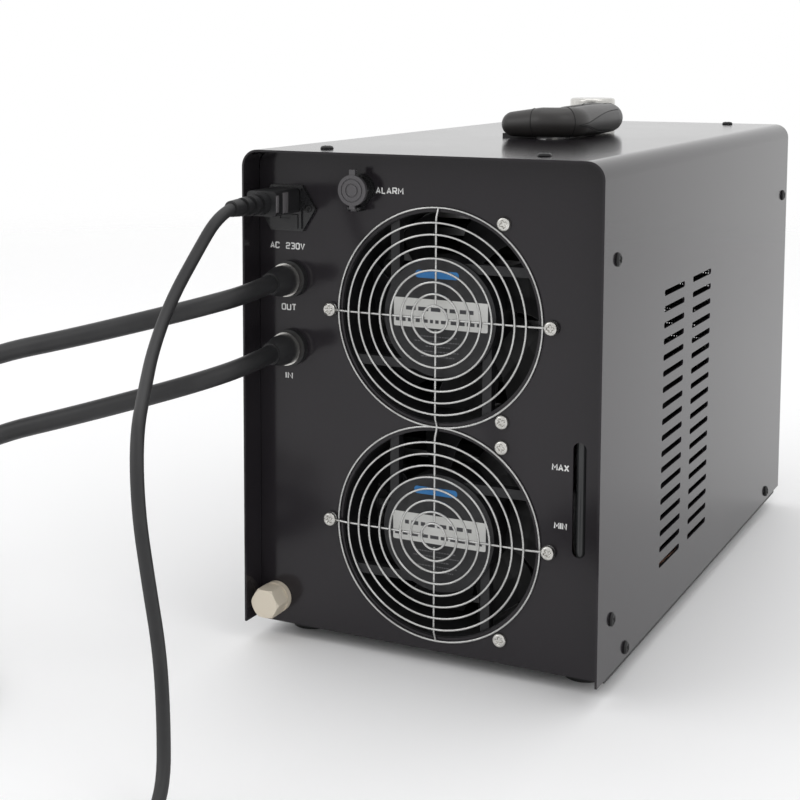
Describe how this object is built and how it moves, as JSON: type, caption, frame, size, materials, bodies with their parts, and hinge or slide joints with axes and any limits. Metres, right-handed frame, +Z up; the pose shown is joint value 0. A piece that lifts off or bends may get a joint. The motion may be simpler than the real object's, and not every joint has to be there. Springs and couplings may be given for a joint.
{
  "type": "water chiller",
  "caption": "Bench water chiller in a black folded-steel case with exhaust fans, hose couplings, mains inlet, filler cap and fold-flat carry handle.",
  "frame": {"origin": "middle of the outline that the case and its mains connector fill, on the floor under the feet", "axes": "+Z up, +Y towards the control side, -Y towards the fans and ports, +X the side seen in the picture"},
  "size_m": [0.653, 0.897, 0.3782],
  "materials": {
    "case_paint": "semi-gloss black powder coat",
    "tray_steel": "black coated steel",
    "zinc_steel": "zinc-plated steel",
    "chrome_wire": "bright chrome wire",
    "bright_metal": "polished plating",
    "cast_metal": "dark cast aluminium",
    "black_plastic": "moulded black plastic",
    "gloss_black": "glossy black plastic",
    "grey_plastic": "grey moulded plastic",
    "cream_plastic": "cream moulded plastic",
    "screw_black": "blackened steel",
    "rubber_black": "black rubber",
    "cable_black": "black cable sheath",
    "hose_black": "black hose",
    "display_pane": "smoked pane",
    "clear_tube": "clear tube",
    "tank_plastic": "translucent white plastic",
    "copper": "copper pipe",
    "board_green": "circuit board",
    "fin_metal": "bare aluminium"
  },
  "bodies": {
    "case": {"cover": "case_paint", "base_tray": "tray_steel", "rear_panel": "case_paint", "front_panel": "case_paint", "intake_grille": "black_plastic", "control_bezel": "black_plastic", "display_window": "display_pane", "control_board": "board_green", "feet": "rubber_black", "cover_screws": "screw_black", "fan_guard_upper": "chrome_wire", "fan_guard_lower": "chrome_wire", "fan_frame_upper": "cast_metal", "fan_frame_lower": "cast_metal", "fan_hubs": "cast_metal", "guard_screws": "zinc_steel", "power_inlet": "gloss_black", "fuse_drawer": "black_plastic", "inlet_screws": "zinc_steel", "mains_connector": "black_plastic", "outlet_port": "black_plastic", "outlet_ring": "bright_metal", "outlet_sleeve": "black_plastic", "outlet_hose": "hose_black", "return_port": "black_plastic", "return_ring": "bright_metal", "return_sleeve": "black_plastic", "return_hose": "hose_black", "mains_cable": "cable_black", "mains_coil": "cable_black", "outlet_coil": "hose_black", "return_coil": "hose_black", "mains_plug": "black_plastic", "outlet_fitting": "bright_metal", "return_fitting": "bright_metal", "alarm_socket": "gloss_black", "drain_port": "cream_plastic", "filler_neck": "bright_metal", "handle_base": "black_plastic", "handle_pins": "zinc_steel", "reservoir": "tank_plastic", "sight_tube": "clear_tube", "pump": "cast_metal", "compressor": "screw_black", "compressor_mounts": "rubber_black", "condenser": "fin_metal", "heat_exchanger": "zinc_steel", "refrigerant_lines": "copper", "water_lines": "hose_black"},
    "key_up": {"button_up": "grey_plastic"},
    "key_down": {"button_down": "grey_plastic"},
    "key_set": {"button_set": "grey_plastic"},
    "key_power": {"button_power": "grey_plastic"},
    "carry_handle": {"handle": "black_plastic", "handle_insert": "black_plastic"},
    "socket_cap": {"alarm_cap": "black_plastic"},
    "fill_cap": {"filler_cap": "bright_metal"},
    "drain_plug": {"drain_cap": "cream_plastic"},
    "upper_fan": {"fan_rotor_upper": "black_plastic"},
    "lower_fan": {"fan_rotor_lower": "black_plastic"}
  },
  "joints": [
    {"name": "press_up", "type": "slide", "parent": "case", "child": "key_up", "axis": [0, -1, 0], "range_m": [0, 0.0012], "stiffness_N_per_m": 300},
    {"name": "press_down", "type": "slide", "parent": "case", "child": "key_down", "axis": [0, -1, 0], "range_m": [0, 0.0012], "stiffness_N_per_m": 300},
    {"name": "press_set", "type": "slide", "parent": "case", "child": "key_set", "axis": [0, -1, 0], "range_m": [0, 0.0012], "stiffness_N_per_m": 300},
    {"name": "press_power", "type": "slide", "parent": "case", "child": "key_power", "axis": [0, -1, 0], "range_m": [0, 0.0012], "stiffness_N_per_m": 300},
    {"name": "handle_fold", "type": "hinge", "parent": "case", "child": "carry_handle", "pos_m": [-0.013, 0.0345, 0.36345], "axis": [0, -1, 0], "range_deg": [0, 90]},
    {"name": "socket_cap_open", "type": "hinge", "parent": "case", "child": "socket_cap", "pos_m": [-0.049, -0.2266, 0.3138], "axis": [1, 0, 0], "range_deg": [0, 110]},
    {"name": "fill_cap_lift", "type": "slide", "parent": "case", "child": "fill_cap", "axis": [0, 0, 1], "range_m": [0, 0.02]},
    {"name": "drain_cap_pull", "type": "slide", "parent": "case", "child": "drain_plug", "axis": [0, -1, 0], "range_m": [0, 0.014]},
    {"name": "upper_fan_spin", "type": "hinge", "parent": "case", "child": "upper_fan", "pos_m": [0.0089, -0.1775, 0.2418], "axis": [0, 1, 0], "continuous": true},
    {"name": "lower_fan_spin", "type": "hinge", "parent": "case", "child": "lower_fan", "pos_m": [0.0089, -0.1775, 0.0925], "axis": [0, 1, 0], "continuous": true}
  ]
}
